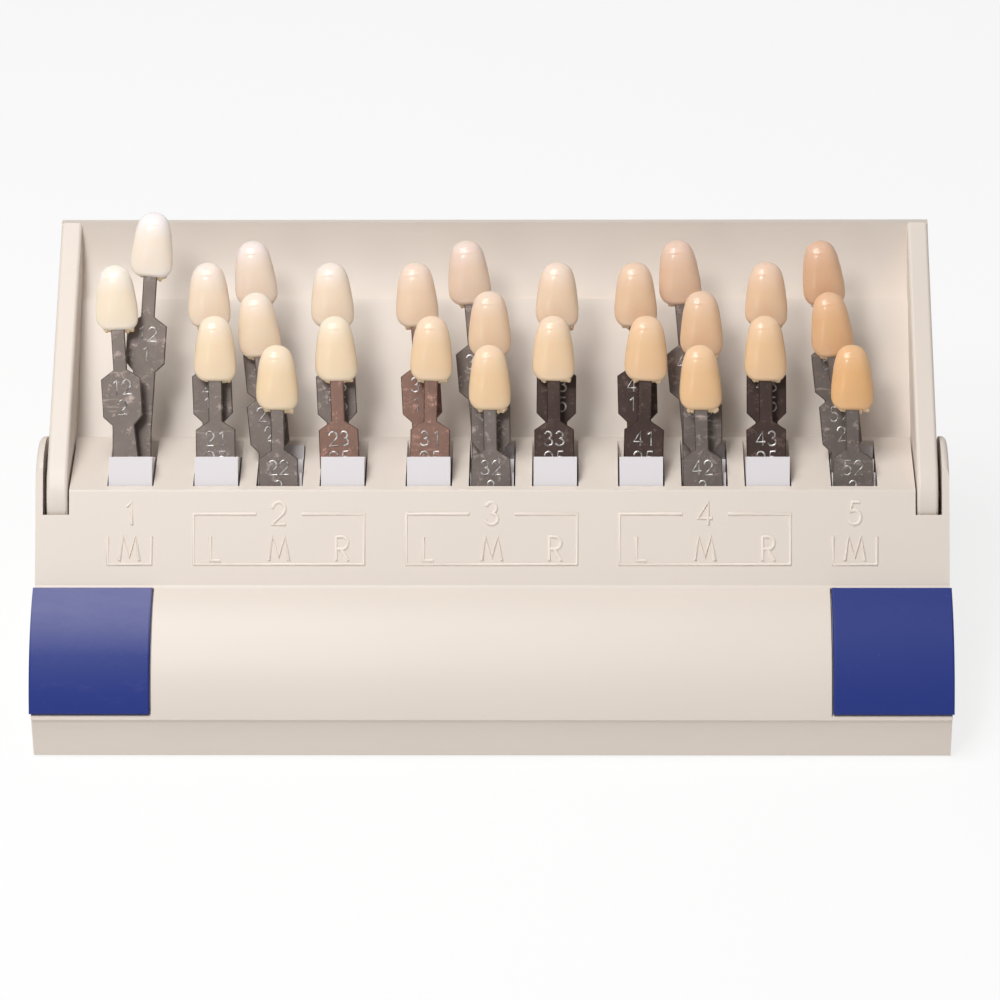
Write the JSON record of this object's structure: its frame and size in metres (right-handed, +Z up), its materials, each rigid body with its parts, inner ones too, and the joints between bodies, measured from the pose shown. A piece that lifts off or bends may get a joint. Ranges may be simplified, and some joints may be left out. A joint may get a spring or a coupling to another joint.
{
  "type": "dental shade guide",
  "caption": "Open case with rows of sample teeth on steel shanks that fan out sideways from pinned carriers, a tilting tray cover and two blue grip pads.",
  "frame": {"origin": "centre of the flat underside of the base", "axes": "+X along the row of teeth to the right, +Y to the back, +Z up from the underside"},
  "size_m": [0.2008, 0.0972, 0.0938],
  "materials": {
    "cream_plastic": "satin",
    "white_plastic": "satin",
    "blue_grip": "satin",
    "pin_steel": "satin",
    "shank_steel": "satin",
    "shank_steel_brown": "satin",
    "shank_steel_dark": "satin",
    "tooth_shade_1_middle_2_0": "gloss",
    "tooth_shade_1_middle_1_0": "gloss",
    "tooth_shade_2_left_2_5": "gloss",
    "tooth_shade_2_left_1_5": "gloss",
    "tooth_shade_2_middle_3_0": "gloss",
    "tooth_shade_2_middle_2_0": "gloss",
    "tooth_shade_2_middle_1_0": "gloss",
    "tooth_shade_2_right_2_5": "gloss",
    "tooth_shade_2_right_1_5": "gloss",
    "tooth_shade_3_left_2_5": "gloss",
    "tooth_shade_3_left_1_5": "gloss",
    "tooth_shade_3_middle_3_0": "gloss",
    "tooth_shade_3_middle_2_0": "gloss",
    "tooth_shade_3_middle_1_0": "gloss",
    "tooth_shade_3_right_2_5": "gloss",
    "tooth_shade_3_right_1_5": "gloss",
    "tooth_shade_4_left_2_5": "gloss",
    "tooth_shade_4_left_1_5": "gloss",
    "tooth_shade_4_middle_3_0": "gloss",
    "tooth_shade_4_middle_2_0": "gloss",
    "tooth_shade_4_middle_1_0": "gloss",
    "tooth_shade_4_right_2_5": "gloss",
    "tooth_shade_4_right_1_5": "gloss",
    "tooth_shade_5_middle_3_0": "gloss",
    "tooth_shade_5_middle_2_0": "gloss",
    "tooth_shade_5_middle_1_0": "gloss"
  },
  "bodies": {
    "base": {"base_housing": "cream_plastic", "base_floor": "cream_plastic", "grip_pad_left": "blue_grip", "grip_pad_right": "blue_grip", "two_tab_carriers": "white_plastic", "three_tab_carriers": "white_plastic", "fan_pins": "pin_steel"},
    "cover": {"cover": "cream_plastic"},
    "tab_1_middle_front": {"shank_1_middle_front": "shank_steel", "tooth_1_middle_front": "tooth_shade_1_middle_2_0"},
    "tab_1_middle_rear": {"shank_1_middle_rear": "shank_steel", "tooth_1_middle_rear": "tooth_shade_1_middle_1_0"},
    "tab_2_left_front": {"shank_2_left_front": "shank_steel", "tooth_2_left_front": "tooth_shade_2_left_2_5"},
    "tab_2_left_rear": {"shank_2_left_rear": "shank_steel", "tooth_2_left_rear": "tooth_shade_2_left_1_5"},
    "tab_2_middle_front": {"shank_2_middle_front": "shank_steel", "tooth_2_middle_front": "tooth_shade_2_middle_3_0"},
    "tab_2_middle_middle": {"shank_2_middle_middle": "shank_steel", "tooth_2_middle_middle": "tooth_shade_2_middle_2_0"},
    "tab_2_middle_rear": {"shank_2_middle_rear": "shank_steel", "tooth_2_middle_rear": "tooth_shade_2_middle_1_0"},
    "tab_2_right_front": {"shank_2_right_front": "shank_steel_brown", "tooth_2_right_front": "tooth_shade_2_right_2_5"},
    "tab_2_right_rear": {"shank_2_right_rear": "shank_steel", "tooth_2_right_rear": "tooth_shade_2_right_1_5"},
    "tab_3_left_front": {"shank_3_left_front": "shank_steel_brown", "tooth_3_left_front": "tooth_shade_3_left_2_5"},
    "tab_3_left_rear": {"shank_3_left_rear": "shank_steel_brown", "tooth_3_left_rear": "tooth_shade_3_left_1_5"},
    "tab_3_middle_front": {"shank_3_middle_front": "shank_steel", "tooth_3_middle_front": "tooth_shade_3_middle_3_0"},
    "tab_3_middle_middle": {"shank_3_middle_middle": "shank_steel", "tooth_3_middle_middle": "tooth_shade_3_middle_2_0"},
    "tab_3_middle_rear": {"shank_3_middle_rear": "shank_steel", "tooth_3_middle_rear": "tooth_shade_3_middle_1_0"},
    "tab_3_right_front": {"shank_3_right_front": "shank_steel_dark", "tooth_3_right_front": "tooth_shade_3_right_2_5"},
    "tab_3_right_rear": {"shank_3_right_rear": "shank_steel_dark", "tooth_3_right_rear": "tooth_shade_3_right_1_5"},
    "tab_4_left_front": {"shank_4_left_front": "shank_steel_dark", "tooth_4_left_front": "tooth_shade_4_left_2_5"},
    "tab_4_left_rear": {"shank_4_left_rear": "shank_steel_dark", "tooth_4_left_rear": "tooth_shade_4_left_1_5"},
    "tab_4_middle_front": {"shank_4_middle_front": "shank_steel", "tooth_4_middle_front": "tooth_shade_4_middle_3_0"},
    "tab_4_middle_middle": {"shank_4_middle_middle": "shank_steel", "tooth_4_middle_middle": "tooth_shade_4_middle_2_0"},
    "tab_4_middle_rear": {"shank_4_middle_rear": "shank_steel", "tooth_4_middle_rear": "tooth_shade_4_middle_1_0"},
    "tab_4_right_front": {"shank_4_right_front": "shank_steel_dark", "tooth_4_right_front": "tooth_shade_4_right_2_5"},
    "tab_4_right_rear": {"shank_4_right_rear": "shank_steel_dark", "tooth_4_right_rear": "tooth_shade_4_right_1_5"},
    "tab_5_middle_front": {"shank_5_middle_front": "shank_steel", "tooth_5_middle_front": "tooth_shade_5_middle_3_0"},
    "tab_5_middle_middle": {"shank_5_middle_middle": "shank_steel", "tooth_5_middle_middle": "tooth_shade_5_middle_2_0"},
    "tab_5_middle_rear": {"shank_5_middle_rear": "shank_steel", "tooth_5_middle_rear": "tooth_shade_5_middle_1_0"}
  },
  "joints": [
    {"name": "cover_tilt", "type": "hinge", "parent": "base", "child": "cover", "pos_m": [0, 0.0042, 0.0398], "axis": [1, 0, 0], "range_deg": [-30, 16]},
    {"name": "fan_1_middle_front", "type": "hinge", "parent": "base", "child": "tab_1_middle_front", "pos_m": [-0.07933, -0.00917, 0.03447], "axis": [0, 0.8368, -0.5476], "range_deg": [-3.5, 10.5]},
    {"name": "fan_1_middle_rear", "type": "hinge", "parent": "base", "child": "tab_1_middle_rear", "pos_m": [-0.07933, -0.00532, 0.03195], "axis": [0, 0.8368, -0.5476], "range_deg": [-10.1, 2.7]},
    {"name": "fan_2_left_front", "type": "hinge", "parent": "base", "child": "tab_2_left_front", "pos_m": [-0.06047, -0.00917, 0.03447], "axis": [0, 0.8368, -0.5476], "range_deg": [-6.4, 6.6]},
    {"name": "fan_2_left_rear", "type": "hinge", "parent": "base", "child": "tab_2_left_rear", "pos_m": [-0.06047, -0.00532, 0.03195], "axis": [0, 0.8368, -0.5476], "range_deg": [-4.2, 1.9]},
    {"name": "fan_2_middle_front", "type": "hinge", "parent": "base", "child": "tab_2_middle_front", "pos_m": [-0.0466, -0.00917, 0.03447], "axis": [0, 0.8368, -0.5476], "range_deg": [-1.2, 3.4]},
    {"name": "fan_2_middle_middle", "type": "hinge", "parent": "base", "child": "tab_2_middle_middle", "pos_m": [-0.0466, -0.00532, 0.03195], "axis": [0, 0.8368, -0.5476], "range_deg": [-0.4, 8.8]},
    {"name": "fan_2_middle_rear", "type": "hinge", "parent": "base", "child": "tab_2_middle_rear", "pos_m": [-0.0466, -0.00147, 0.02943], "axis": [0, 0.8368, -0.5476], "range_deg": [-0.2, 11.8]},
    {"name": "fan_2_right_front", "type": "hinge", "parent": "base", "child": "tab_2_right_front", "pos_m": [-0.03273, -0.00917, 0.03447], "axis": [0, 0.8368, -0.5476], "range_deg": [-4.8, 9.2]},
    {"name": "fan_2_right_rear", "type": "hinge", "parent": "base", "child": "tab_2_right_rear", "pos_m": [-0.03273, -0.00532, 0.03195], "axis": [0, 0.8368, -0.5476], "range_deg": [-3.6, 9.2]},
    {"name": "fan_3_left_front", "type": "hinge", "parent": "base", "child": "tab_3_left_front", "pos_m": [-0.01387, -0.00917, 0.03447], "axis": [0, 0.8368, -0.5476], "range_deg": [-7.7, 5.5]},
    {"name": "fan_3_left_rear", "type": "hinge", "parent": "base", "child": "tab_3_left_rear", "pos_m": [-0.01387, -0.00532, 0.03195], "axis": [0, 0.8368, -0.5476], "range_deg": [-3.4, 7.6]},
    {"name": "fan_3_middle_front", "type": "hinge", "parent": "base", "child": "tab_3_middle_front", "pos_m": [0, -0.00917, 0.03447], "axis": [0, 0.8368, -0.5476], "range_deg": [-1.4, 3.2]},
    {"name": "fan_3_middle_middle", "type": "hinge", "parent": "base", "child": "tab_3_middle_middle", "pos_m": [0, -0.00532, 0.03195], "axis": [0, 0.8368, -0.5476], "range_deg": [-5.6, 6.9]},
    {"name": "fan_3_middle_rear", "type": "hinge", "parent": "base", "child": "tab_3_middle_rear", "pos_m": [0, -0.00147, 0.02943], "axis": [0, 0.8368, -0.5476], "range_deg": [-0.9, 11.1]},
    {"name": "fan_3_right_front", "type": "hinge", "parent": "base", "child": "tab_3_right_front", "pos_m": [0.01387, -0.00917, 0.03447], "axis": [0, 0.8368, -0.5476], "range_deg": [-6.4, 7.6]},
    {"name": "fan_3_right_rear", "type": "hinge", "parent": "base", "child": "tab_3_right_rear", "pos_m": [0.01387, -0.00532, 0.03195], "axis": [0, 0.8368, -0.5476], "range_deg": [-6.5, 6]},
    {"name": "fan_4_left_front", "type": "hinge", "parent": "base", "child": "tab_4_left_front", "pos_m": [0.03273, -0.00917, 0.03447], "axis": [0, 0.8368, -0.5476], "range_deg": [-8.4, 4.2]},
    {"name": "fan_4_left_rear", "type": "hinge", "parent": "base", "child": "tab_4_left_rear", "pos_m": [0.03273, -0.00532, 0.03195], "axis": [0, 0.8368, -0.5476], "range_deg": [-5.1, 6]},
    {"name": "fan_4_middle_front", "type": "hinge", "parent": "base", "child": "tab_4_middle_front", "pos_m": [0.0466, -0.00917, 0.03447], "axis": [0, 0.8368, -0.5476], "range_deg": [-0.8, 3.8]},
    {"name": "fan_4_middle_middle", "type": "hinge", "parent": "base", "child": "tab_4_middle_middle", "pos_m": [0.0466, -0.00532, 0.03195], "axis": [0, 0.8368, -0.5476], "range_deg": [-5.7, 6.2]},
    {"name": "fan_4_middle_rear", "type": "hinge", "parent": "base", "child": "tab_4_middle_rear", "pos_m": [0.0466, -0.00147, 0.02943], "axis": [0, 0.8368, -0.5476], "range_deg": [-0.9, 11.1]},
    {"name": "fan_4_right_front", "type": "hinge", "parent": "base", "child": "tab_4_right_front", "pos_m": [0.06047, -0.00917, 0.03447], "axis": [0, 0.8368, -0.5476], "range_deg": [-6.2, 7.8]},
    {"name": "fan_4_right_rear", "type": "hinge", "parent": "base", "child": "tab_4_right_rear", "pos_m": [0.06047, -0.00532, 0.03195], "axis": [0, 0.8368, -0.5476], "range_deg": [-5.8, 5.7]},
    {"name": "fan_5_middle_front", "type": "hinge", "parent": "base", "child": "tab_5_middle_front", "pos_m": [0.07933, -0.00917, 0.03447], "axis": [0, 0.8368, -0.5476], "range_deg": [-1.6, 3]},
    {"name": "fan_5_middle_middle", "type": "hinge", "parent": "base", "child": "tab_5_middle_middle", "pos_m": [0.07933, -0.00532, 0.03195], "axis": [0, 0.8368, -0.5476], "range_deg": [-0.8, 12]},
    {"name": "fan_5_middle_rear", "type": "hinge", "parent": "base", "child": "tab_5_middle_rear", "pos_m": [0.07933, -0.00147, 0.02943], "axis": [0, 0.8368, -0.5476], "range_deg": [0, 12.1]}
  ]
}
